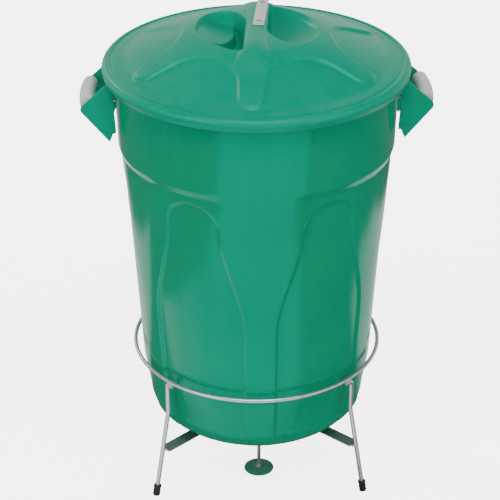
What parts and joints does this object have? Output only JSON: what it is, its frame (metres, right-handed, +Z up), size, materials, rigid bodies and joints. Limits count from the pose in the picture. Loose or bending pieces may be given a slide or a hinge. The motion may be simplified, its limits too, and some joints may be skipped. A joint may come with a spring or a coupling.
{
  "type": "gravity game feeder",
  "caption": "Lidded round bin with side handles in a splayed rod stand; a hanging rod with a trigger disc under the floor outlet lets grain out when pushed.",
  "frame": {"origin": "on the ground under the middle of the bin", "axes": "+Z up, -Y towards the front with the trigger disc, +X towards the right handle seen from the front"},
  "size_m": [0.581, 0.504, 0.8195],
  "materials": {
    "green_plastic": "glossy injection-moulded green plastic",
    "lid_plastic": "semi-gloss injection-moulded green plastic, a little lighter than the bin",
    "grey_grip": "smooth light grey plastic",
    "stand_steel": "drawn steel rod and strip, zinc plated, satin",
    "galvanised_strap": "galvanised steel strip, dull",
    "zinc_fastener": "zinc-plated fastener, satin",
    "pendulum_steel": "plain steel rod, dull",
    "disc_green": "dull green paint",
    "black_rubber": "matt black rubber",
    "spout_plastic": "dark grey plastic"
  },
  "bodies": {
    "stand": {"cross_strap_lower": "stand_steel", "cross_strap_upper": "stand_steel", "foot_cap_front_left": "black_rubber", "foot_cap_front_right": "black_rubber", "foot_cap_rear_left": "black_rubber", "foot_cap_rear_right": "black_rubber", "leg_front_left": "stand_steel", "leg_front_right": "stand_steel", "leg_rear_left": "stand_steel", "leg_rear_right": "stand_steel", "stand_ring": "stand_steel"},
    "bin": {"bin_body": "green_plastic", "handle_bolt_left_front": "zinc_fastener", "handle_bolt_left_rear": "zinc_fastener", "handle_bolt_right_front": "zinc_fastener", "handle_bolt_right_rear": "zinc_fastener", "handle_bracket_left": "green_plastic", "handle_bracket_right": "green_plastic", "handle_grip_left": "grey_grip", "handle_grip_right": "grey_grip", "handle_nut_left_front": "zinc_fastener", "handle_nut_left_rear": "zinc_fastener", "handle_nut_right_front": "zinc_fastener", "handle_nut_right_rear": "zinc_fastener", "hanger_bolt_left": "zinc_fastener", "hanger_bolt_right": "zinc_fastener", "hanger_bridge": "galvanised_strap", "hanger_eye": "pendulum_steel", "hanger_eye_nut": "zinc_fastener", "hanger_nut_left": "zinc_fastener", "hanger_nut_right": "zinc_fastener", "outlet_gasket": "black_rubber", "outlet_locknut": "spout_plastic", "outlet_spout": "spout_plastic"},
    "lid": {"lid": "lid_plastic", "lid_strap": "galvanised_strap", "strap_bolt_front": "zinc_fastener", "strap_bolt_rear": "zinc_fastener", "strap_nut_front": "zinc_fastener", "strap_nut_rear": "zinc_fastener"},
    "link": {"swing_link": "pendulum_steel"},
    "pendulum": {"disc_nut_lower": "zinc_fastener", "disc_nut_upper": "zinc_fastener", "pendulum_rod": "pendulum_steel", "trigger_disc": "disc_green", "valve_nut_lower": "zinc_fastener", "valve_nut_upper": "zinc_fastener", "valve_plate": "black_rubber"}
  },
  "joints": [
    {"name": "bin_lift", "type": "slide", "parent": "stand", "child": "bin", "axis": [0, 0, 1], "range_m": [0, 0.25]},
    {"name": "lid_lift", "type": "slide", "parent": "bin", "child": "lid", "axis": [0, 0, 1], "range_m": [0, 0.15]},
    {"name": "link_swing", "type": "hinge", "parent": "bin", "child": "link", "pos_m": [0, -0.12, 0.18], "axis": [0, 1, 0], "range_deg": [-4.5, 4.5]},
    {"name": "rod_swing", "type": "hinge", "parent": "link", "child": "pendulum", "pos_m": [0, -0.12, 0.16555], "axis": [1, 0, 0], "range_deg": [-4.5, 4.5]}
  ]
}
